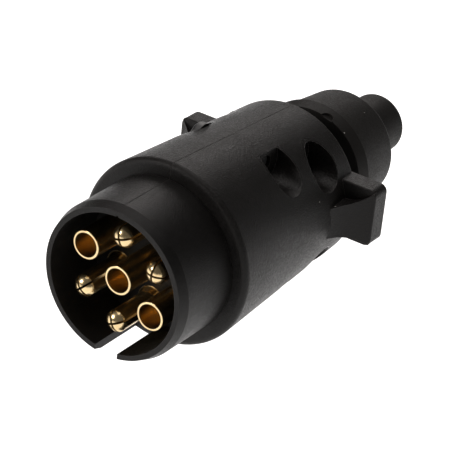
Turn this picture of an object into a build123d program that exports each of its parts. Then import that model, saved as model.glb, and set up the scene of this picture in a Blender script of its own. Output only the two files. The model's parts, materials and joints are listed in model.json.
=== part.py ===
from build123d import *
from math import cos, sin, radians, sqrt
import os

# Seven-contact trailer wiring plug, all sizes in mm.
# The origin is the centre of the shroud's front face. +X goes to the right lug,
# -Y is the way the plug is pushed into its socket, +Y goes to the cable, +Z is up.

# --- clearances ---
contact_gap = 0.03
running_gap = 0.05
half_seam = 0.05
neck_gap = 0.1
carrier_gap = 0.1
wall_gap = 0.1
screw_hole_gap = 0.15
terminal_screw_lift = 0.3
screw_end_room = 0.7

# --- contacts ---
pitch_circle_r = 10.17
pin_r = 2.5
pin_setback = 1.3
pin_dome = 1.7
pin_slot = 0.5
pin_slot_length = 6.5
pin_cone_y = 1.3
pin_cone_step = 0.6
sleeve_setback = 2.2
sleeve_bore_r = 2.82
sleeve_wall = 0.48
contact_collar_step = 0.6
contact_collar_y = 2.0
terminal_r = 3.0
terminal_y = 7.5
wire_bore_r = 1.7
wire_bore_y = 6.0
terminal_screw_r = 1.45
terminal_screw_head_r = 2.1
terminal_screw_head_h = 1.4
terminal_screw_foot = 0.4
centre_screw_room = 0.9
driver_slot = 0.6
driver_slot_deep = 0.7

# --- contact shroud ---
shroud_room = 2.58
shroud_wall = 1.95
shroud_depth = 15.3
shroud_behind = 2.9
shroud_chamfer_y = 2.4
shroud_chamfer_r = 0.75
shroud_neck_step = 0.35
keyway_width = 5.8
keyway_length = 14.8
flange_y = 3.0
mould_line = 0.06
rim_nick = 0.3

# --- contact carrier and the plate behind it ---
carrier_base = 13.7
carrier_seat = 0.4
carrier_step = 1.2
key_depth = 1.8
key_half_z = 1.5
plate_y = 2.5
plate_edge = 0.4
plate_margin = 1.6
plate_room = 0.6
retainer_inset = 2.55
retainer_screw_r = 1.1
retainer_screw_y = 9.0
retainer_head_r = 2.2
retainer_head_y = 1.4

# --- two half shells ---
body_step = 3.6
body_taper = 2.74
body_wall = 2.2
front_wall = 2.5
rear_wall = 2.0
front_round = 1.35
rear_round = 0.5
rib_y = 1.6

# --- housing screws, their pockets and bosses ---
front_screw_room = 0.7
front_pocket_edge = 0.08
rear_screw_room = 1.1
rear_pocket_edge = 2.92
pocket_r = 4.4
pocket_draft = 0.05
pocket_floor_x = 8.3
pocket_wall = 1.2
pocket_floor_wall = 1.6
housing_screw_r = 1.6
housing_head_r = 3.3
housing_head_x = 2.1
boss_wall = 1.7
cross_slot = 0.8
cross_half = 2.1
cross_depth = 1.2

# --- grip lugs ---
lug_reach = 7.44
lug_low_z = -5.8
lug_high_z = 8.1
lug_y = 4.8
lug_corner = 1.7
lug_edge = 0.45
gusset_y = 6.9
gusset_low_z = -3.5
gusset_high_z = 4.1
gusset_hollow = 2.6
gusset_high_bow = 0.9
gusset_low_bow = 0.6

# --- cable clamp ---
cable_r = 4.2
clamp_room = 1.8
clamp_y = 5.0
clamp_gap = 2.0
clamp_ear = 3.0
clamp_ear_corner = 1.0
clamp_ear_margin = 0.5
clamp_arch = 1.6
clamp_arch_round = 1.2
clamp_head_room = 0.2
clamp_head_r = 2.1
clamp_head_x = 1.6
clamp_screw_r = 1.25
clamp_screw_length = 13.0

# --- cable boot ---
boot_room = 0.26
boot_hollow_r = 8.5
boot_hollow_cone = 4.0
boot_neck_wall = 2.0
boot_flange_step = 2.3
boot_flange_y = 1.9
boot_shoulder_step = 1.0
boot_gap = 8.65
boot_front_step = 2.9
boot_ring_step = 0.7
boot_ring_y = 3.1
boot_barrel_step = 0.1
boot_barrel_taper = 1.3
boot_barrel_round = 1.0
boot_length = 16.85
tube_wall = 3.05
tube_y = 15.5
tube_round = 1.4
tube_root_round = 0.8
notch_r = 1.45
notch_deep = 0.35
notch_angle = 74.0

# --- places along the axis, front to back ---
body_front_y = shroud_depth + shroud_behind
cavity_front_y = body_front_y + front_wall
flange_front_y = cavity_front_y + running_gap
flange_rear_y = flange_front_y + flange_y
carrier_rear_y = shroud_depth + carrier_base
collar_front_y = carrier_rear_y - contact_collar_y
rib_front_y = carrier_rear_y + running_gap
plate_rear_y = carrier_rear_y + plate_y
terminal_rear_y = plate_rear_y + terminal_y
centre_rear_y = terminal_rear_y + terminal_screw_head_r + centre_screw_room + wire_bore_y / 2
boss_r = housing_screw_r + boss_wall
cup_r = pocket_r + pocket_wall
front_screw_y = terminal_rear_y + front_screw_room + boss_r
clamp_front_y = centre_rear_y + clamp_room
clamp_rear_y = clamp_front_y + clamp_y
clamp_mid_y = clamp_front_y + clamp_y / 2
rear_screw_y = clamp_rear_y + rear_screw_room + boss_r
boot_flange_front_y = rear_screw_y + cup_r + boot_room
boot_flange_rear_y = boot_flange_front_y + boot_flange_y
cavity_rear_y = boot_flange_rear_y + wall_gap
body_rear_y = cavity_rear_y + rear_wall
boot_front_y = body_rear_y + boot_gap
boot_step_y = boot_front_y + boot_ring_y
boot_rear_y = boot_front_y + boot_length
tube_rear_y = boot_rear_y + tube_y

# --- radii and places across the axis ---
sleeve_r = sleeve_bore_r + sleeve_wall
contact_collar_r = sleeve_r + contact_collar_step
pin_cone_r = pin_r + pin_cone_step
shroud_bore_r = pitch_circle_r + sleeve_r + shroud_room
shroud_r = shroud_bore_r + shroud_wall
shroud_neck_r = shroud_r - shroud_neck_step
body_front_r = shroud_r + body_step
body_rear_r = body_front_r - body_taper
carrier_r = shroud_bore_r + carrier_seat
retainer_ring_r = shroud_bore_r - retainer_inset
plate_r = retainer_ring_r + retainer_screw_r + plate_margin
rib_r = plate_r + plate_room
lug_x = body_rear_r + lug_reach
clamp_screw_z = cable_r + clamp_arch + clamp_head_r + clamp_head_room
clamp_half_z = clamp_screw_z + clamp_head_r + clamp_ear_margin
boot_neck_r = boot_hollow_r + boot_neck_wall
boot_flange_r = boot_neck_r + boot_flange_step
boot_shoulder_r = boot_neck_r + boot_shoulder_step
boot_front_r = boot_shoulder_r + boot_front_step
boot_ring_r = boot_front_r + boot_ring_step
boot_barrel_r = boot_front_r + boot_barrel_step
boot_barrel_rear_r = boot_barrel_r - boot_barrel_taper
tube_r = cable_r + tube_wall


def body_r(y):
    # radius of the shells' tapered outside at a place along the axis
    return body_front_r - body_taper * (y - body_front_y) / (body_rear_y - body_front_y)


flange_r = body_r(flange_rear_y) - body_wall - 2 * carrier_gap
key_x = flange_r - key_depth
front_screw_z = body_r(front_screw_y) - pocket_r - front_pocket_edge
rear_screw_z = body_r(rear_screw_y) - pocket_r - rear_pocket_edge

# angle of each contact round the circle, and how far the cross slot in a pin's tip is turned
male_places = [(90.0, 16.0), (30.0, 86.0), (270.0, 24.0), (210.0, 42.0)]
female_places = [330.0, 150.0]
housing_places = [(front_screw_y, front_screw_z), (front_screw_y, -front_screw_z),
                  (rear_screw_y, rear_screw_z), (rear_screw_y, -rear_screw_z)]
retainer_places = [(retainer_ring_r, 0.0), (-retainer_ring_r, 0.0)]


def rod_y(r, low, high, x=0.0, z=0.0):
    return Pos(x, (low + high) / 2, z) * (Rot(90, 0, 0) * Cylinder(r, high - low))


def rod_x(r, low, high, y=0.0, z=0.0):
    return Pos((low + high) / 2, y, z) * (Rot(0, 90, 0) * Cylinder(r, high - low))


def block(x0, x1, y0, y1, z0, z1):
    middle = Pos((x0 + x1) / 2, (y0 + y1) / 2, (z0 + z1) / 2)
    return middle * Box(x1 - x0, y1 - y0, z1 - z0)


def turned(points):
    # A closed outline of (radius, y) points spun round the Y axis.
    return revolve(make_face(Polyline(*points, close=True)), Axis.Y)


def ring_place(angle):
    return pitch_circle_r * cos(radians(angle)), pitch_circle_r * sin(radians(angle))


def circle_edges(shape, y, r):
    found = shape.edges().filter_by(GeomType.CIRCLE)
    return [e for e in found if abs(e.center().Y - y) < 0.01 and abs(e.radius - r) < 0.01]


# --- contact shroud: a keyed tube with a stepped-in neck and a flange, both inside the shells ---
neck_front_y = body_front_y - neck_gap
carrier_hole_r = carrier_r + contact_gap
shroud = turned([(shroud_bore_r, 0), (shroud_r - shroud_chamfer_r, 0), (shroud_r, shroud_chamfer_y),
                 (shroud_r, neck_front_y), (shroud_neck_r, neck_front_y), (shroud_neck_r, flange_front_y),
                 (flange_r, flange_front_y), (flange_r, flange_rear_y), (carrier_hole_r, flange_rear_y),
                 (carrier_hole_r, shroud_depth), (shroud_bore_r, shroud_depth)])
shroud -= block(-keyway_width / 2, keyway_width / 2, -1, keyway_length,
                -shroud_r - 1, -shroud_bore_r + 1)
# a shallow mould line along the top, ending in a nick at the rim
shroud -= block(-mould_line, mould_line, -1, body_front_y - 0.5, shroud_r - mould_line, shroud_r + 1)
shroud -= block(-rim_nick, rim_nick, -1, 0.5, shroud_bore_r - 0.5, shroud_bore_r + rim_nick)

# --- contact carrier: the shroud's floor and the block that holds the contacts ---
carrier_foot_r = flange_r - carrier_step
carrier_foot_y = flange_rear_y + running_gap
carrier = turned([(0, shroud_depth), (carrier_r, shroud_depth), (carrier_r, carrier_foot_y),
                  (carrier_foot_r, carrier_foot_y), (carrier_foot_r, carrier_rear_y),
                  (0, carrier_rear_y)])
# one key in the shell goes through both the shroud's flange and the carrier's foot
key_slot = block(key_x, flange_r + 1, flange_front_y - 1, carrier_rear_y + 1,
                 -key_half_z - running_gap, key_half_z + running_gap)
shroud -= key_slot & rod_y(flange_r + 1, flange_front_y, flange_rear_y + 1)
carrier -= key_slot & rod_y(flange_r + 1, carrier_foot_y - 1, carrier_rear_y + 1)


def contact_hole(x, z):
    hole = rod_y(sleeve_r + contact_gap, shroud_depth - 1, carrier_rear_y + 1, x, z)
    seat = rod_y(contact_collar_r + contact_gap, collar_front_y - contact_gap, carrier_rear_y + 1, x, z)
    return hole + seat


all_places = [ring_place(angle) for angle, turn in male_places]
all_places += [ring_place(angle) for angle in female_places]
all_places += [(0.0, 0.0)]
for x, z in all_places:
    carrier -= contact_hole(x, z)
for x, z in retainer_places:
    carrier -= rod_y(retainer_screw_r + contact_gap, plate_rear_y - retainer_screw_y - screw_end_room,
                     carrier_rear_y + 1, x, z)

# --- retaining plate and its two screws ---
plate = rod_y(plate_r, carrier_rear_y, plate_rear_y)
plate = chamfer(circle_edges(plate, plate_rear_y, plate_r), plate_edge)
for x, z in all_places:
    plate -= rod_y(terminal_r + contact_gap, carrier_rear_y - 1, plate_rear_y + 1, x, z)
for x, z in retainer_places:
    plate -= rod_y(retainer_screw_r + screw_hole_gap, carrier_rear_y - 1, plate_rear_y + 1, x, z)


def retainer_screw(x, z):
    head = rod_y(retainer_head_r, plate_rear_y, plate_rear_y + retainer_head_y, x, z)
    head = fillet(circle_edges(head, plate_rear_y + retainer_head_y, retainer_head_r), 0.5)
    shank = rod_y(retainer_screw_r, plate_rear_y - retainer_screw_y, plate_rear_y, x, z)
    low = plate_rear_y + retainer_head_y - driver_slot_deep
    slot = block(x - driver_slot / 2, x + driver_slot / 2, low, low + 2, z - 3, z + 3)
    return head + shank - slot


# --- contacts ---
# Each contact is made on the Y axis with its terminal screw on top, then turned outwards.
def placed(shape, x, z, angle):
    return Pos(x, 0, z) * (Rot(0, 90 - angle, 0) * shape)


def terminal_part(rear_y):
    body = rod_y(sleeve_r, shroud_depth, collar_front_y)
    body += rod_y(contact_collar_r, collar_front_y, carrier_rear_y)
    body += rod_y(terminal_r, carrier_rear_y, rear_y)
    body -= rod_y(wire_bore_r, rear_y - wire_bore_y, rear_y + 1)
    screw_hole = Cylinder(terminal_screw_r + running_gap, 2 * terminal_r)
    return body - Pos(0, rear_y - wire_bore_y / 2, terminal_r) * screw_hole


def male_pin(x, z, angle, slot_turn):
    tip = pin_setback + pin_dome
    dome_r = (pin_r ** 2 + pin_dome ** 2) / (2 * pin_dome)
    side = (pin_r * 0.55, pin_setback + dome_r - sqrt(dome_r ** 2 - (pin_r * 0.55) ** 2))
    edge = ThreePointArc((0, pin_setback), side, (pin_r, tip))
    outline = edge + Polyline((pin_r, tip), (pin_r, shroud_depth - pin_cone_y), (pin_cone_r, shroud_depth),
                              (0, shroud_depth), (0, pin_setback))
    pin = revolve(make_face(outline), Axis.Y)
    slot = block(-pin_slot / 2, pin_slot / 2, pin_setback - 1, pin_setback + pin_slot_length, -pin_r, pin_r)
    cross = Rot(0, angle - 90 - slot_turn, 0) * (slot + Rot(0, 90, 0) * slot)
    return placed(pin - cross + terminal_part(terminal_rear_y), x, z, angle)


def female_sleeve(x, z, angle, rear_y):
    tube = rod_y(sleeve_r, sleeve_setback, shroud_depth)
    tube = fillet(circle_edges(tube, sleeve_setback, sleeve_r), 0.15)
    tube += terminal_part(rear_y)
    return placed(tube - rod_y(sleeve_bore_r, sleeve_setback - 1, shroud_depth - 1), x, z, angle)


def terminal_screw(x, z, angle, rear_y):
    seat = terminal_r + terminal_screw_lift
    foot = wire_bore_r - terminal_screw_foot
    head = Cylinder(terminal_screw_head_r, terminal_screw_head_h)
    head = Pos(0, 0, seat + terminal_screw_head_h / 2) * head
    head = chamfer(head.edges().group_by(Axis.Z)[-1], 0.3)
    shank = Pos(0, 0, (seat + foot) / 2) * Cylinder(terminal_screw_r, seat - foot)
    slot = Pos(0, 0, seat + terminal_screw_head_h) * Box(driver_slot, 6, 2 * driver_slot_deep)
    return placed(Pos(0, rear_y - wire_bore_y / 2, 0) * (head + shank - slot), x, z, angle)


# --- half shells ---
def shell_blank():
    outer = turned([(0, body_front_y), (body_front_r, body_front_y), (body_rear_r, body_rear_y),
                    (0, body_rear_y)])
    outer = fillet(circle_edges(outer, body_front_y, body_front_r), front_round)
    return fillet(circle_edges(outer, body_rear_y, body_rear_r), rear_round)


def shell_cavity():
    hollow = turned([(0, cavity_front_y), (body_r(cavity_front_y) - body_wall, cavity_front_y),
                     (body_r(cavity_rear_y) - body_wall, cavity_rear_y), (0, cavity_rear_y)])
    hollow += rod_y(shroud_neck_r + carrier_gap, body_front_y - 1, cavity_front_y + 1)
    return hollow + rod_y(boot_neck_r + wall_gap, cavity_rear_y - 1, body_rear_y + 1)


def grip_lug():
    inner_x = body_rear_r - body_wall
    plate_front = body_rear_y - lug_y
    plug = block(inner_x, lug_x, plate_front, body_rear_y, lug_low_z, lug_high_z)
    corners = plug.edges().filter_by(Axis.Y).group_by(Axis.X)[-1]
    plug = fillet(corners, lug_corner)
    rim = plug.faces().sort_by(Axis.Y)[0].edges().filter_by(lambda e: e.center().X > inner_x + 0.5)
    plug = fillet(rim, lug_edge)
    start_x = body_r(plate_front - gusset_y) - 0.2
    end_x = lug_x - lug_edge
    # side view of the gusset: a hollow ramp from the body to the plate's outer edge
    ramp = ThreePointArc((start_x, plate_front - gusset_y),
                         (start_x + gusset_hollow, plate_front - gusset_hollow), (end_x, plate_front))
    side = ramp + Polyline((end_x, plate_front), (end_x, plate_front + 1), (inner_x, plate_front + 1),
                           (inner_x, plate_front - gusset_y), (start_x, plate_front - gusset_y))
    ramp_block = extrude(make_face(side), lug_high_z - lug_low_z)
    ramp_block = Pos(0, 0, lug_low_z) * ramp_block
    # end view of the gusset: narrow at the body, flared to the plate's height outside
    waist_x = (start_x + end_x) / 2
    high_z = lug_high_z - lug_edge
    low_z = lug_low_z + lug_edge
    top = ThreePointArc((inner_x, gusset_high_z), (waist_x, gusset_high_z + gusset_high_bow), (end_x, high_z))
    low = ThreePointArc((end_x, low_z), (waist_x, gusset_low_z - gusset_low_bow), (inner_x, gusset_low_z))
    flare = top + Line((end_x, high_z), (end_x, low_z)) + low
    flare += Line((inner_x, gusset_low_z), (inner_x, gusset_high_z))
    flare_face = Rot(90, 0, 0) * make_face(flare)
    flare_block = Pos(0, plate_front + 1, 0) * extrude(flare_face, gusset_y + 4)
    return plug + (ramp_block & flare_block)


def pocket_cut(y, z):
    # a round pocket with a little draft, open to the outside of the +X half
    depth = body_front_r - pocket_floor_x
    cone = Cone(pocket_r, pocket_r + pocket_draft * depth, depth)
    return Pos(pocket_floor_x + depth / 2, y, z) * (Rot(0, 90, 0) * cone)


def pocket_walls(y, z):
    column = rod_x(boss_r, half_seam, pocket_floor_x, y, z)
    cup = rod_x(cup_r, pocket_floor_x - pocket_floor_wall, body_front_r, y, z)
    return column + cup


def half_shell():
    # the +X half, with everything the two halves share
    outer = shell_blank()
    walls = outer - shell_cavity()
    # a rib behind the carrier's foot, then the screws' columns and pockets
    inside = rod_y(body_front_r, rib_front_y, rib_front_y + rib_y)
    inside -= rod_y(rib_r, rib_front_y - 1, rib_front_y + rib_y + 1)
    for y, z in housing_places:
        inside += pocket_walls(y, z)
    shell = walls + (outer & inside)
    shell += grip_lug() - shell_cavity()
    for y, z in housing_places:
        shell -= pocket_cut(y, z)
    keep = block(half_seam, lug_x + 5, body_front_y - 1, body_rear_y + 1,
                 -body_front_r - 1, body_front_r + 1)
    return shell & keep


shared_half = half_shell()

# the +X half takes the screws' threads and carries the clamp's seat and the carrier's key
bar_x = -clamp_gap / 2
clamp_seat_x = bar_x - clamp_ear - running_gap
clamp_screw_end_x = clamp_seat_x + clamp_screw_length
body_half = shared_half
seat_block = block(clamp_gap / 2, body_front_r, clamp_front_y, clamp_rear_y, -clamp_half_z, clamp_half_z)
body_half += seat_block & shell_cavity()
body_half -= rod_y(cable_r, clamp_front_y - 1, clamp_rear_y + 1)
key_rib = block(key_x + running_gap, body_front_r, flange_front_y, rib_front_y + rib_y,
                -key_half_z, key_half_z)
body_half += key_rib & shell_cavity()
for y, z in housing_places:
    body_half -= rod_x(housing_screw_r + running_gap, -1, pocket_floor_x + 1, y, z)
for z in (clamp_screw_z, -clamp_screw_z):
    body_half -= rod_x(clamp_screw_r + running_gap, 0, clamp_screw_end_x + screw_end_room, clamp_mid_y, z)

# the -X half takes the screws' heads
cover_half = mirror(shared_half, Plane.YZ)
for y, z in housing_places:
    cover_half -= rod_x(housing_screw_r + screw_hole_gap, -pocket_floor_x - 1, 1, y, z)


def housing_screw(y, z):
    seat = -pocket_floor_x
    head = rod_x(housing_head_r, seat - housing_head_x, seat, y, z)
    top = [e for e in head.edges().filter_by(GeomType.CIRCLE) if e.center().X < seat - 0.1]
    head = fillet(top, 0.8)
    shank = rod_x(housing_screw_r, seat, pocket_floor_x - screw_end_room, y, z)
    shank = chamfer([e for e in shank.edges().filter_by(GeomType.CIRCLE) if e.center().X > 0], 0.4)
    low = seat - housing_head_x
    deep = low + cross_depth
    half = cross_slot / 2
    slot = block(low - 1, deep, y - half, y + half, z - cross_half, z + cross_half)
    slot += block(low - 1, deep, y - cross_half, y + cross_half, z - half, z + half)
    return head + shank - slot


# --- cable clamp bar: two flat ears and an arch over the cable ---
arch_half_z = cable_r + clamp_arch
clamp_bar = block(bar_x - clamp_ear, bar_x, clamp_front_y, clamp_rear_y, -clamp_half_z, clamp_half_z)
clamp_bar = fillet(clamp_bar.edges().filter_by(Axis.X), clamp_ear_corner)
clamp_bar += block(-cable_r - clamp_arch, bar_x, clamp_front_y, clamp_rear_y, -arch_half_z, arch_half_z)
arch_x = -cable_r - clamp_arch
arch_tops = [e for e in clamp_bar.edges().filter_by(Axis.Y) if e.center().X < arch_x + 0.01]
clamp_bar = fillet(arch_tops, clamp_arch_round)
clamp_bar -= rod_y(cable_r, clamp_front_y - 1, clamp_rear_y + 1)
for z in (clamp_screw_z, -clamp_screw_z):
    clamp_bar -= rod_x(clamp_screw_r + screw_hole_gap, -clamp_ear - 5, 1, clamp_mid_y, z)


def clamp_screw(z):
    seat = clamp_seat_x
    head = rod_x(clamp_head_r, seat - clamp_head_x, seat, clamp_mid_y, z)
    top = [e for e in head.edges().filter_by(GeomType.CIRCLE) if e.center().X < seat - 0.1]
    head = chamfer(top, 0.3)
    shank = rod_x(clamp_screw_r, seat, clamp_screw_end_x, clamp_mid_y, z)
    low = seat - clamp_head_x
    slot = block(low - 1, low + driver_slot_deep, clamp_mid_y - 3, clamp_mid_y + 3,
                 z - driver_slot / 2, z + driver_slot / 2)
    return head + shank - slot


# --- cable boot: flange inside the shells, neck, ringed barrel and rear tube ---
shoulder_y = body_rear_y + wall_gap
boot = turned([(boot_flange_r, boot_flange_front_y), (boot_flange_r, boot_flange_rear_y),
               (boot_neck_r, boot_flange_rear_y), (boot_neck_r, shoulder_y), (boot_shoulder_r, shoulder_y),
               (boot_shoulder_r, boot_front_y), (boot_front_r, boot_front_y), (boot_ring_r, boot_step_y),
               (boot_barrel_r, boot_step_y), (boot_barrel_rear_r, boot_rear_y), (tube_r, boot_rear_y),
               (tube_r, tube_rear_y), (cable_r, tube_rear_y), (cable_r, boot_rear_y),
               (boot_hollow_r, boot_rear_y - boot_hollow_cone), (boot_hollow_r, boot_flange_front_y)])
boot = fillet(circle_edges(boot, boot_rear_y, boot_barrel_rear_r), boot_barrel_round)
boot = fillet(circle_edges(boot, tube_rear_y, tube_r), tube_round)
boot = fillet(circle_edges(boot, boot_rear_y, tube_r), tube_root_round)
# a small half-round notch in the ring's front rim
notch = Pos(0, boot_front_y, boot_front_r - notch_deep + notch_r) * Cylinder(notch_r, 2 * notch_r)
boot -= Rot(0, 90 - notch_angle, 0) * notch

# --- one node per piece ---
nodes = {"contact_shroud": shroud, "contact_carrier": carrier, "retaining_plate": plate,
         "body_half": body_half, "cover_half": cover_half, "cable_clamp_bar": clamp_bar,
         "cable_boot": boot}
terminal_ends = []
for i, (angle, turn) in enumerate(male_places):
    x, z = ring_place(angle)
    nodes["male_pin_%d" % (i + 1)] = male_pin(x, z, angle, turn)
    terminal_ends.append((x, z, angle, terminal_rear_y))
for i, angle in enumerate(female_places):
    x, z = ring_place(angle)
    nodes["female_sleeve_%d" % (i + 1)] = female_sleeve(x, z, angle, terminal_rear_y)
    terminal_ends.append((x, z, angle, terminal_rear_y))
nodes["female_sleeve_3"] = female_sleeve(0.0, 0.0, 90.0, centre_rear_y)
terminal_ends.append((0.0, 0.0, 90.0, centre_rear_y))
for i, (x, z, angle, rear) in enumerate(terminal_ends):
    nodes["terminal_screw_%d" % (i + 1)] = terminal_screw(x, z, angle, rear)
for i, (x, z) in enumerate(retainer_places):
    nodes["retainer_screw_%d" % (i + 1)] = retainer_screw(x, z)
for i, (y, z) in enumerate(housing_places):
    nodes["housing_screw_%d" % (i + 1)] = housing_screw(y, z)
for i, z in enumerate((clamp_screw_z, -clamp_screw_z)):
    nodes["clamp_screw_%d" % (i + 1)] = clamp_screw(z)

os.makedirs("parts", exist_ok=True)
for name, shape in nodes.items():
    solids = shape.solids()
    export_step(solids[0] if len(solids) == 1 else Compound(children=solids), "parts/" + name + ".step")
    print(name, "solids", len(solids), "volume", round(shape.volume, 1))
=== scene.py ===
# %% [markdown]
# A trailer plug is a black moulded shell, split down the middle, that holds
# seven brass contacts inside a round shroud. The solid model already has every
# piece in its place, so this script keeps those pieces and gives them their
# finishes, adds the screw threads, and then sets up floor, lights and camera.

# %% Load the solid model
import json
import math

import bpy
from mathutils import Matrix, Vector


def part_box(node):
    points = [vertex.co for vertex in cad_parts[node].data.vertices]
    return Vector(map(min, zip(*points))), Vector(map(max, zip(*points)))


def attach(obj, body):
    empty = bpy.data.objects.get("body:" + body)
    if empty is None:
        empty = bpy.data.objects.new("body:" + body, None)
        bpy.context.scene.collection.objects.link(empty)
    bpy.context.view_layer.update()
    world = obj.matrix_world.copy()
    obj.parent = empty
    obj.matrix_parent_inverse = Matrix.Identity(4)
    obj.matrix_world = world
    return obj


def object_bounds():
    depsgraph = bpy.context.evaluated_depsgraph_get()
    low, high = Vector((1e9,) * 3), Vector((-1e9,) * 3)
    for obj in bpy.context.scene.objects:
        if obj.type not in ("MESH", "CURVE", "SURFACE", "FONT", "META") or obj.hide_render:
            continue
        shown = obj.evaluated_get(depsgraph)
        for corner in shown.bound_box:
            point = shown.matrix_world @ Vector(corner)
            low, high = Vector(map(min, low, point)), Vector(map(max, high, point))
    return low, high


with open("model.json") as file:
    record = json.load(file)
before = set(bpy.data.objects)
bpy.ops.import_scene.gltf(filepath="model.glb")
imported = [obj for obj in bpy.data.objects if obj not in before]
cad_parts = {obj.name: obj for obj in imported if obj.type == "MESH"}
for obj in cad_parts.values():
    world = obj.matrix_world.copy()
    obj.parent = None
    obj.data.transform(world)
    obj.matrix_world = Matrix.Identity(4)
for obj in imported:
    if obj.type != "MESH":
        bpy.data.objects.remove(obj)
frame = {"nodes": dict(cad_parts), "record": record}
nodes = frame["nodes"]
cad_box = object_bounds()
low, high = Vector(cad_box[0]), Vector(cad_box[1])
print("pieces", len(nodes), "box in mm", [round(v * 1000, 1) for v in (high - low)])

# %% [markdown]
# ## Helpers for node trees
# A material is a small network. These two helpers add a node with its settings,
# and join two sockets, so that each finish below reads as a short list of steps.


# %% Helpers for shader nodes
def add(tree, kind, **settings):
    node = tree.nodes.new(kind)
    for key, value in settings.items():
        if key in node.inputs:
            node.inputs[key].default_value = value
        else:
            setattr(node, key, value)
    return node


def link(tree, source, target):
    tree.links.new(source, target)


def set_inputs(node, values):
    for key, value in values.items():
        node.inputs[key].default_value = value


def new_group(name, inputs, outputs):
    group = bpy.data.node_groups.new(name, "ShaderNodeTree")
    for label, kind, value in inputs:
        socket = group.interface.new_socket(name=label, in_out="INPUT", socket_type=kind)
        socket.default_value = value
    for label, kind in outputs:
        group.interface.new_socket(name=label, in_out="OUTPUT", socket_type=kind)
    return group, group.nodes.new("NodeGroupInput"), group.nodes.new("NodeGroupOutput")


# %% [markdown]
# ## Moulding grain
# The shell's mould was spark-eroded, which leaves a fine pebbled grain of about
# a third of a millimetre. A noise texture alone looks like clouds, so two sizes
# of noise and a cell texture are mixed: the cells give the pebbles, the small
# noise breaks them up. Each cell also gets one random value, the speckle, which
# makes some pebbles duller than their neighbours. The same group serves the
# shell, the shroud and the boot, each with its own grain size.

# %% Moulding grain group
grain, grain_in, grain_out = new_group(
    "moulding grain",
    [("Cells per metre", "NodeSocketFloat", 4000.0), ("Pebble share", "NodeSocketFloat", 0.5)],
    [("Height", "NodeSocketFloat"), ("Patches", "NodeSocketFloat"), ("Speckle", "NodeSocketFloat")],
)
grain_place = add(grain, "ShaderNodeTexCoord")
grain_cells = add(grain, "ShaderNodeTexVoronoi", feature="SMOOTH_F1", Smoothness=0.6)
grain_noise = add(grain, "ShaderNodeTexNoise", Detail=2.0, Roughness=0.6)
grain_double = add(grain, "ShaderNodeMath", operation="MULTIPLY")
grain_double.inputs[1].default_value = 2.3
grain_mix = add(grain, "ShaderNodeMix", data_type="FLOAT")
grain_patch = add(grain, "ShaderNodeTexNoise", Scale=110.0, Detail=3.0, Roughness=0.55)
grain_speck = add(grain, "ShaderNodeTexVoronoi", feature="F1", Randomness=1.0)
grain_split = add(grain, "ShaderNodeSeparateColor")
link(grain, grain_place.outputs["Object"], grain_speck.inputs["Vector"])
link(grain, grain_in.outputs["Cells per metre"], grain_speck.inputs["Scale"])
link(grain, grain_speck.outputs["Color"], grain_split.inputs["Color"])
link(grain, grain_split.outputs["Red"], grain_out.inputs["Speckle"])
link(grain, grain_place.outputs["Object"], grain_cells.inputs["Vector"])
link(grain, grain_place.outputs["Object"], grain_noise.inputs["Vector"])
link(grain, grain_place.outputs["Object"], grain_patch.inputs["Vector"])
link(grain, grain_in.outputs["Cells per metre"], grain_cells.inputs["Scale"])
link(grain, grain_in.outputs["Cells per metre"], grain_double.inputs[0])
link(grain, grain_double.outputs[0], grain_noise.inputs["Scale"])
link(grain, grain_in.outputs["Pebble share"], grain_mix.inputs["Factor"])
link(grain, grain_noise.outputs["Fac"], grain_mix.inputs["A"])
link(grain, grain_cells.outputs["Distance"], grain_mix.inputs["B"])
link(grain, grain_mix.outputs["Result"], grain_out.inputs["Height"])
link(grain, grain_patch.outputs["Fac"], grain_out.inputs["Patches"])
print("grain group sockets", len(grain.interface.items_tree))

# %% [markdown]
# ## Dust specks
# Black plastic shows every speck of dust. A cell texture with few cells per
# metre gives one random point in each cell, and keeping only the places that are
# very near to such a point leaves small dots. A second, coarse noise hides most of
# them, so that they lie in loose patches and not on a grid.

# %% Dust group
dust, dust_in, dust_out = new_group(
    "dust specks",
    [("Specks per metre", "NodeSocketFloat", 170.0), ("Speck size", "NodeSocketFloat", 0.035)],
    [("Mask", "NodeSocketFloat")],
)
dust_place = add(dust, "ShaderNodeTexCoord")
dust_cells = add(dust, "ShaderNodeTexVoronoi", feature="F1", Randomness=1.0)
dust_near = add(dust, "ShaderNodeMath", operation="LESS_THAN")
dust_where = add(dust, "ShaderNodeTexNoise", Scale=60.0, Detail=1.0)
dust_patch = add(dust, "ShaderNodeMath", operation="GREATER_THAN")
dust_patch.inputs[1].default_value = 0.56
dust_both = add(dust, "ShaderNodeMath", operation="MULTIPLY")
link(dust, dust_place.outputs["Object"], dust_cells.inputs["Vector"])
link(dust, dust_place.outputs["Object"], dust_where.inputs["Vector"])
link(dust, dust_in.outputs["Specks per metre"], dust_cells.inputs["Scale"])
link(dust, dust_cells.outputs["Distance"], dust_near.inputs[0])
link(dust, dust_in.outputs["Speck size"], dust_near.inputs[1])
link(dust, dust_where.outputs["Fac"], dust_patch.inputs[0])
link(dust, dust_near.outputs[0], dust_both.inputs[0])
link(dust, dust_patch.outputs[0], dust_both.inputs[1])
link(dust, dust_both.outputs[0], dust_out.inputs["Mask"])
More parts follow.
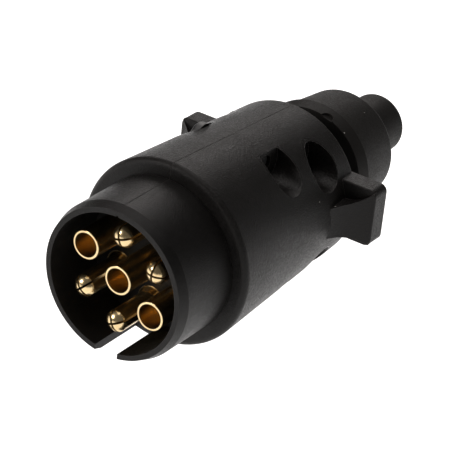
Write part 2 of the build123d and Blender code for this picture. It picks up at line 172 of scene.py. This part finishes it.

# %% [markdown]
# ## Rounded edges, rubbed wear and painted highlight
# The solid model's rims are sharp, and a real moulding's never are. The Bevel
# node looks a tenth of a millimetre around each point and gives the normal of a
# small round edge, which catches a thin line of light. Where that normal differs
# from the flat one there is an edge, so the same group gives a mask of the edges
# as well. The finishes lighten their colour along it: partly the wear that handling
# leaves on them, partly a painted highlight along the rims, on hollow corners too.

# %% Rounded edge group
edges, edges_in, edges_out = new_group(
    "rounded edges",
    [("Radius", "NodeSocketFloat", 0.00013)],
    [("Normal", "NodeSocketVector"), ("Mask", "NodeSocketFloat")],
)
edges_round = add(edges, "ShaderNodeBevel", samples=6)
edges_flat = add(edges, "ShaderNodeNewGeometry")
edges_dot = add(edges, "ShaderNodeVectorMath", operation="DOT_PRODUCT")
edges_ramp = add(edges, "ShaderNodeMapRange", clamp=True)
edges_ramp.inputs["From Min"].default_value = 0.985
edges_ramp.inputs["From Max"].default_value = 0.8
link(edges, edges_in.outputs["Radius"], edges_round.inputs["Radius"])
link(edges, edges_round.outputs["Normal"], edges_dot.inputs[0])
link(edges, edges_flat.outputs["Normal"], edges_dot.inputs[1])
link(edges, edges_dot.outputs["Value"], edges_ramp.inputs["Value"])
link(edges, edges_round.outputs["Normal"], edges_out.inputs["Normal"])
link(edges, edges_ramp.outputs["Result"], edges_out.inputs["Mask"])
print("edge group sockets", len(edges.interface.items_tree))

# %% [markdown]
# ## Pocket walls
# The pins that formed the screw pockets were polished, so the pockets' walls are
# smoother than the grained outside. A point belongs to a pocket if it is near the
# line of a housing screw, measured across that line, and farther out than the
# screws' tips. The screws' own boxes give the four lines and the tips.

# %% Pocket group
beyond_tip = 0.0005
pockets, pockets_in, pockets_out = new_group(
    "pocket walls", [("Reach", "NodeSocketFloat", 0.005)], [("Mask", "NodeSocketFloat")])
pockets_place = add(pockets, "ShaderNodeTexCoord")
pockets_across = add(pockets, "ShaderNodeVectorMath", operation="MULTIPLY")
pockets_across.inputs[1].default_value = (0.0, 1.0, 1.0)
link(pockets, pockets_place.outputs["Object"], pockets_across.inputs[0])
pockets_near = None
tip_x = 0.0
for screw in sorted(n for n in nodes if n.startswith("housing_screw_")):
    near, far = (Vector(v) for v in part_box(screw))
    line = (near + far) / 2
    tip_x = far.x
    away = add(pockets, "ShaderNodeVectorMath", operation="DISTANCE")
    away.inputs[1].default_value = (0.0, line.y, line.z)
    inside = add(pockets, "ShaderNodeMath", operation="LESS_THAN")
    total = add(pockets, "ShaderNodeMath", operation="ADD", use_clamp=True)
    link(pockets, pockets_across.outputs["Vector"], away.inputs[0])
    link(pockets, away.outputs["Value"], inside.inputs[0])
    link(pockets, pockets_in.outputs["Reach"], inside.inputs[1])
    link(pockets, inside.outputs[0], total.inputs[0])
    total.inputs[1].default_value = 0.0
    if pockets_near:
        link(pockets, pockets_near.outputs[0], total.inputs[1])
    pockets_near = total
pockets_side = add(pockets, "ShaderNodeSeparateXYZ")
pockets_aside = add(pockets, "ShaderNodeMath", operation="ABSOLUTE")
pockets_deep = add(pockets, "ShaderNodeMath", operation="GREATER_THAN")
pockets_deep.inputs[1].default_value = tip_x + beyond_tip
pockets_both = add(pockets, "ShaderNodeMath", operation="MULTIPLY")
link(pockets, pockets_place.outputs["Object"], pockets_side.inputs["Vector"])
link(pockets, pockets_side.outputs["X"], pockets_aside.inputs[0])
link(pockets, pockets_aside.outputs[0], pockets_deep.inputs[0])
link(pockets, pockets_near.outputs[0], pockets_both.inputs[0])
link(pockets, pockets_deep.outputs[0], pockets_both.inputs[1])
link(pockets, pockets_both.outputs[0], pockets_out.inputs["Mask"])
print("pocket lines", len([n for n in nodes if n.startswith("housing_screw_")]))

# %% [markdown]
# ## Moulded plastic and rubber
# Both are a Principled shader with a black base that is never quite black, a
# roughness that wanders a little over the surface, and the grain as a bump.
# Plastic is smoother, rubber is rougher and browner. One function makes them
# all, so that a reader can compare their values side by side. Each finish blends
# a dark and a light tone by the slow patches and by the speckle.


# %% Moulded materials
polish = 0.17
dust_colour = (0.55, 0.53, 0.5, 1.0)


def moulded(name, dark, light, rough, grain_per_m, depth, pebble, dusty, edge_wear_and_highlight, speckle):
    mat = bpy.data.materials.new(name)
    mat.use_nodes = True
    tree = mat.node_tree
    shader = tree.nodes["Principled BSDF"]
    grained = add(tree, "ShaderNodeGroup", node_tree=grain)
    set_inputs(grained, {"Cells per metre": grain_per_m, "Pebble share": pebble})
    specks = add(tree, "ShaderNodeGroup", node_tree=dust)
    set_inputs(specks, {"Speck size": dusty})
    rim_wear_and_highlight = add(tree, "ShaderNodeGroup", node_tree=edges)
    shade = add(tree, "ShaderNodeMix", data_type="RGBA")
    shade.inputs["A"].default_value = dark
    shade.inputs["B"].default_value = light
    blend = add(tree, "ShaderNodeMix", data_type="FLOAT")
    blend.inputs["Factor"].default_value = speckle
    link(tree, grained.outputs["Patches"], blend.inputs["A"])
    link(tree, grained.outputs["Speckle"], blend.inputs["B"])
    link(tree, blend.outputs["Result"], shade.inputs["Factor"])
    # Lighter colour along the edge mask: partly rubbed wear, partly a painted highlight on the rims.
    wear_and_highlight_tint = add(tree, "ShaderNodeMix", data_type="RGBA")
    wear_and_highlight_tint.inputs["B"].default_value = edge_wear_and_highlight
    link(tree, rim_wear_and_highlight.outputs["Mask"], wear_and_highlight_tint.inputs["Factor"])
    link(tree, shade.outputs["Result"], wear_and_highlight_tint.inputs["A"])
    dusted = add(tree, "ShaderNodeMix", data_type="RGBA")
    dusted.inputs["B"].default_value = dust_colour
    link(tree, specks.outputs["Mask"], dusted.inputs["Factor"])
    link(tree, wear_and_highlight_tint.outputs["Result"], dusted.inputs["A"])
    link(tree, dusted.outputs["Result"], shader.inputs["Base Color"])
    ramp = add(tree, "ShaderNodeMapRange")
    ramp.inputs["From Min"].default_value = 0.15
    ramp.inputs["From Max"].default_value = 0.85
    ramp.inputs["To Min"].default_value = rough - 0.12
    ramp.inputs["To Max"].default_value = rough + 0.14
    link(tree, blend.outputs["Result"], ramp.inputs["Value"])
    polished = add(tree, "ShaderNodeGroup", node_tree=pockets)
    smooth = add(tree, "ShaderNodeMix", data_type="FLOAT")
    smooth.inputs["B"].default_value = rough - polish
    link(tree, polished.outputs["Mask"], smooth.inputs["Factor"])
    link(tree, ramp.outputs["Result"], smooth.inputs["A"])
    link(tree, smooth.outputs["Result"], shader.inputs["Roughness"])
    bump = add(tree, "ShaderNodeBump", Strength=1.0, Distance=depth)
    link(tree, grained.outputs["Height"], bump.inputs["Height"])
    link(tree, rim_wear_and_highlight.outputs["Normal"], bump.inputs["Normal"])
    link(tree, bump.outputs["Normal"], shader.inputs["Normal"])
    shader.inputs["IOR"].default_value = 1.5
    shader.inputs["Specular IOR Level"].default_value = 0.16
    return mat


shell_plastic = moulded(
    # Each finish's edge colour is partly wear and partly a painted highlight along the rims.
    "shell plastic", dark=(0.0050, 0.0046, 0.0043, 1), light=(0.0115, 0.0105, 0.0098, 1), rough=0.40,
    grain_per_m=3400.0, depth=0.00010, pebble=0.55, dusty=0.03,
    edge_wear_and_highlight=(0.085, 0.080, 0.076, 1), speckle=0.6)
shroud_plastic = moulded(
    "shroud plastic", dark=(0.0046, 0.0043, 0.0040, 1), light=(0.0098, 0.0090, 0.0084, 1), rough=0.40,
    grain_per_m=3600.0, depth=0.00008, pebble=0.5, dusty=0.02,
    edge_wear_and_highlight=(0.070, 0.066, 0.062, 1), speckle=0.55)
inner_plastic = moulded(
    "inner plastic", dark=(0.009, 0.009, 0.009, 1), light=(0.014, 0.014, 0.014, 1), rough=0.5,
    grain_per_m=4200.0, depth=0.00003, pebble=0.3, dusty=0.0,
    edge_wear_and_highlight=(0.03, 0.03, 0.03, 1), speckle=0.4)
boot_rubber = moulded(
    "boot rubber", dark=(0.0080, 0.0074, 0.0068, 1), light=(0.0135, 0.0125, 0.0114, 1), rough=0.55,
    grain_per_m=3200.0, depth=0.00003, pebble=0.25, dusty=0.025,
    edge_wear_and_highlight=(0.022, 0.020, 0.019, 1), speckle=0.5)
print("moulded finishes", 4)

# %% [markdown]
# ## Turned brass
# The contacts are turned on a lathe, so their sides carry very fine rings, and
# they are bright on top of a warm gold. The rings are a band texture across the
# plug's length. Here and there the brass is a little browner, which a soft noise
# gives.

# %% Brass
brass = bpy.data.materials.new("turned brass")
brass.use_nodes = True
brass_tree = brass.node_tree
brass_shader = brass_tree.nodes["Principled BSDF"]
brass_place = add(brass_tree, "ShaderNodeTexCoord")
brass_rings = add(brass_tree, "ShaderNodeTexWave", bands_direction="Y", Scale=900.0,
                  Distortion=1.5, Detail=2.0)
brass_tone = add(brass_tree, "ShaderNodeTexNoise", Scale=260.0, Detail=3.0)
brass_mix = add(brass_tree, "ShaderNodeMix", data_type="RGBA")
brass_mix.inputs["A"].default_value = (0.62, 0.45, 0.23, 1)
brass_mix.inputs["B"].default_value = (0.88, 0.70, 0.40, 1)
brass_bump = add(brass_tree, "ShaderNodeBump", Strength=0.35, Distance=0.00001)
brass_rough = add(brass_tree, "ShaderNodeMapRange")
brass_rough.inputs["To Min"].default_value = 0.16
brass_rough.inputs["To Max"].default_value = 0.30
link(brass_tree, brass_place.outputs["Object"], brass_rings.inputs["Vector"])
link(brass_tree, brass_place.outputs["Object"], brass_tone.inputs["Vector"])
link(brass_tree, brass_tone.outputs["Fac"], brass_mix.inputs["Factor"])
link(brass_tree, brass_tone.outputs["Fac"], brass_rough.inputs["Value"])
link(brass_tree, brass_rings.outputs["Fac"], brass_bump.inputs["Height"])
link(brass_tree, brass_mix.outputs["Result"], brass_shader.inputs["Base Color"])
link(brass_tree, brass_rough.outputs["Result"], brass_shader.inputs["Roughness"])
link(brass_tree, brass_bump.outputs["Normal"], brass_shader.inputs["Normal"])
brass_shader.inputs["Metallic"].default_value = 1.0

# %% [markdown]
# ## Screw steels
# The clamp and terminal screws are bright plated steel with a faint cloudiness,
# and the housing screws are a near-black steel. A noise moves the colour a little
# between two greys, and the roughness with it, so one function makes both.


# %% Screw steels
def steel_finish(name, dark, light, smooth, dull):
    mat = bpy.data.materials.new(name)
    mat.use_nodes = True
    tree = mat.node_tree
    shader = tree.nodes["Principled BSDF"]
    place = add(tree, "ShaderNodeTexCoord")
    cloud = add(tree, "ShaderNodeTexNoise", Scale=700.0, Detail=4.0)
    tone = add(tree, "ShaderNodeMix", data_type="RGBA")
    tone.inputs["A"].default_value = dark
    tone.inputs["B"].default_value = light
    rough = add(tree, "ShaderNodeMapRange")
    rough.inputs["To Min"].default_value = smooth
    rough.inputs["To Max"].default_value = dull
    bump = add(tree, "ShaderNodeBump", Strength=0.4, Distance=0.00001)
    link(tree, place.outputs["Object"], cloud.inputs["Vector"])
    link(tree, cloud.outputs["Fac"], tone.inputs["Factor"])
    link(tree, cloud.outputs["Fac"], rough.inputs["Value"])
    link(tree, cloud.outputs["Fac"], bump.inputs["Height"])
    link(tree, tone.outputs["Result"], shader.inputs["Base Color"])
    link(tree, rough.outputs["Result"], shader.inputs["Roughness"])
    link(tree, bump.outputs["Normal"], shader.inputs["Normal"])
    shader.inputs["Metallic"].default_value = 1.0
    return mat


steel = steel_finish("zinc plated steel", dark=(0.50, 0.49, 0.46, 1), light=(0.72, 0.72, 0.72, 1),
                     smooth=0.25, dull=0.45)
black_steel = steel_finish("blackened steel", dark=(0.05, 0.05, 0.05, 1), light=(0.10, 0.10, 0.10, 1),
                           smooth=0.35, dull=0.55)
print("steels", steel.name, "and", black_steel.name)

# %% [markdown]
# ## Give each piece its finish
# The solid model's record names a slot for each piece, so one small table is
# enough to dress them all.

# %% Dress the pieces
finishes = {"shell_plastic": shell_plastic, "shroud_plastic": shroud_plastic,
            "inner_plastic": inner_plastic, "boot_rubber": boot_rubber, "contact_brass": brass,
            "screw_steel": steel, "black_steel": black_steel}
slots = {s["node"]: s["material_slot"] for s in frame["record"]["subparts"]}
for name, piece in nodes.items():
    for slot in piece.material_slots:
        slot.material = finishes[slots[name]]
print("finishes used", sorted(set(slots.values())))

# %% [markdown]
# ## Screw threads
# Each screw in the solid model has a plain shank. A thread is a ridge that
# follows a spiral, which Geometry Nodes make from three pieces: a spiral curve,
# a small triangle, and Curve to Mesh, which carries the triangle along. The tree
# takes its sizes as named inputs, so one tree serves every screw.


# %% Thread tree
def thread_tree():
    tree = bpy.data.node_groups.new("screw thread", "GeometryNodeTree")
    for label, value in (("Turns", 8.0), ("Radius", 0.0016), ("Length", 0.006), ("Ridge", 0.0001)):
        socket = tree.interface.new_socket(name=label, in_out="INPUT", socket_type="NodeSocketFloat")
        socket.default_value = value
    for label in ("Start", "Turned"):
        tree.interface.new_socket(name=label, in_out="INPUT", socket_type="NodeSocketVector")
    tree.interface.new_socket(name="Finish", in_out="INPUT", socket_type="NodeSocketMaterial")
    tree.interface.new_socket(name="Geometry", in_out="OUTPUT", socket_type="NodeSocketGeometry")
    source = tree.nodes.new("NodeGroupInput")
    result = tree.nodes.new("NodeGroupOutput")
    spiral = add(tree, "GeometryNodeCurveSpiral", Resolution=20)
    ridge = add(tree, "GeometryNodeCurvePrimitiveCircle", Resolution=4)
    sweep = add(tree, "GeometryNodeCurveToMesh")
    sweep.inputs["Fill Caps"].default_value = True
    place = add(tree, "GeometryNodeTransform")
    real = add(tree, "GeometryNodeRealizeInstances")
    dress = add(tree, "GeometryNodeSetMaterial")
    link(tree, source.outputs["Turns"], spiral.inputs["Rotations"])
    link(tree, source.outputs["Radius"], spiral.inputs["Start Radius"])
    link(tree, source.outputs["Radius"], spiral.inputs["End Radius"])
    link(tree, source.outputs["Length"], spiral.inputs["Height"])
    link(tree, source.outputs["Ridge"], ridge.inputs["Radius"])
    link(tree, spiral.outputs["Curve"], sweep.inputs["Curve"])
    link(tree, ridge.outputs["Curve"], sweep.inputs["Profile Curve"])
    link(tree, sweep.outputs["Mesh"], place.inputs["Geometry"])
    link(tree, source.outputs["Start"], place.inputs["Translation"])
    link(tree, source.outputs["Turned"], place.inputs["Rotation"])
    link(tree, place.outputs["Geometry"], real.inputs["Geometry"])
    link(tree, real.outputs["Geometry"], dress.inputs["Geometry"])
    link(tree, source.outputs["Finish"], dress.inputs["Material"])
    link(tree, dress.outputs["Geometry"], result.inputs["Geometry"])
    return tree


threads = thread_tree()
thread_keys = {i.name: i.identifier for i in threads.interface.items_tree if i.in_out == "INPUT"}
print("thread inputs", sorted(thread_keys))


# %% [markdown]
# The modifier is only a way to make the mesh: once it has run, its result is
# copied into a plain mesh and the helper object is removed. The spiral stands on
# its start and rises along its own Z, so the direction of the screw becomes a
# turn of that axis.

# %% Make a thread along a screw
def thread(name, start, along, turns, radius, length, ridge, body):
    maker = bpy.data.objects.new("maker", bpy.data.meshes.new("maker"))
    bpy.context.scene.collection.objects.link(maker)
    step = maker.modifiers.new("thread", "NODES")
    step.node_group = threads
    turn = Vector((0, 0, 1)).rotation_difference(Vector(along)).to_euler()
    values = {"Turns": turns, "Radius": radius, "Length": length, "Ridge": ridge,
              "Start": tuple(start), "Turned": tuple(turn), "Finish": finishes[slots[body]]}
    for label, value in values.items():
        step[thread_keys[label]] = value
    depsgraph = bpy.context.evaluated_depsgraph_get()
    mesh = bpy.data.meshes.new_from_object(maker.evaluated_get(depsgraph))
    piece = bpy.data.objects.new(name, mesh)
    bpy.context.scene.collection.objects.link(piece)
    bpy.data.objects.remove(maker)
    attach(piece, body)
    return piece


# %% [markdown]
# The housing and clamp screws lie across the plug, with their tips on the right.
# Their threads end a little before the tip, and start well short of the head,
# as on a real screw.

# %% Threads on the housing and clamp screws
# name, shank radius, room before the tip, length, height of the ridge and pitch, in metres
screw_kinds = [("housing_screw_", 0.0016, 0.0006, 0.0066, 0.00009, 0.0007),
               ("clamp_screw_", 0.00125, 0.0004, 0.0080, 0.00008, 0.00045)]
count = 0
for prefix, shank, tip_gap, length, ridge, pitch in screw_kinds:
    for name in sorted(n for n in nodes if n.startswith(prefix)):
        near, far = (Vector(v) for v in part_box(name))
        middle = (near + far) / 2
        start = (far.x - tip_gap - length, middle.y, middle.z)
        thread(name + "_thread", start, (1, 0, 0), length / pitch, shank, length, ridge, name)
        count += 1
print("threads made", count)

# %% [markdown]
# ## Floor and light
# A pale floor that glows a little gives a white ground with no hard shadow, as a
# light table does. The main lamp hangs overhead, one behind on the left draws the
# edge of the boot, and a smaller one in front on the left lifts the contacts. The
# world adds a faint white from all sides, which brass needs to look gold.

# %% Floor
floor_drop = 0.05
floor_size = 6.0
floor_z = low.z - floor_drop
bpy.ops.mesh.primitive_plane_add(size=floor_size, location=(0, 0, floor_z))
floor = bpy.context.object
floor.name = "floor"
floor_paint = bpy.data.materials.new("pale floor")
floor_paint.use_nodes = True
floor_tree = floor_paint.node_tree
floor_shader = floor_tree.nodes["Principled BSDF"]
floor_shader.inputs["Base Color"].default_value = (0.92, 0.92, 0.92, 1)
floor_shader.inputs["Roughness"].default_value = 0.9
floor_shader.inputs["Emission Color"].default_value = (1, 1, 1, 1)
floor_shader.inputs["Emission Strength"].default_value = 0.75
floor.data.materials.append(floor_paint)


# %% Lights
def lamp(name, place, aim, size, power):
    data = bpy.data.lights.new(name, "AREA")
    data.shape = "DISK"
    data.size = size
    data.energy = power
    data.color = (1.0, 0.95, 0.925)
    lit = bpy.data.objects.new(name, data)
    bpy.context.scene.collection.objects.link(lit)
    direction = Vector(aim) - Vector(place)
    lit.matrix_world = Matrix.Translation(place) @ direction.to_track_quat("-Z", "Y").to_matrix().to_4x4()
    return lit


centre = (low + high) / 2
lamp("overhead", (-0.1, 0.1, 1.1), centre, 0.8, 4.8)
lamp("back left", (-0.45, 0.80, 0.55), centre, 0.6, 2.6)
lamp("front left", (-0.55, -0.65, 0.45), centre, 0.35, 4.0)
world = bpy.data.worlds.new("studio")
bpy.context.scene.world = world
world.use_nodes = True
world.node_tree.nodes["Background"].inputs["Color"].default_value = (1.0, 0.97, 0.95, 1)
world.node_tree.nodes["Background"].inputs["Strength"].default_value = 0.12
bpy.context.scene.view_settings.view_transform = "Standard"

# %% [markdown]
# ## Camera
# A long lens from about half a metre keeps the plug nearly free of perspective,
# as in a catalogue. The camera looks at a point just inside the body, from the
# right and from above, and leans a little.

# %% Camera
view_from = math.radians(31.57)
view_height = math.radians(28.5)
lean = math.radians(6.17)
reach = 0.5328
aim = Vector((0.0152, 0.0176, 0.0131))
forward = Vector((-math.sin(view_from) * math.cos(view_height),
                  math.cos(view_from) * math.cos(view_height), -math.sin(view_height)))
camera_data = bpy.data.cameras.new("camera")
camera_data.sensor_width = 36.0
camera_data.lens = 204.9
camera_data.clip_start = 0.01
camera = bpy.data.objects.new("camera", camera_data)
bpy.context.scene.collection.objects.link(camera)
facing = forward.to_track_quat("-Z", "Y").to_matrix().to_4x4()
camera.matrix_world = Matrix.Translation(aim - forward * reach) @ facing @ Matrix.Rotation(lean, 4, "Z")
bpy.context.scene.camera = camera
print("camera at", [round(v, 4) for v in camera.matrix_world.translation])
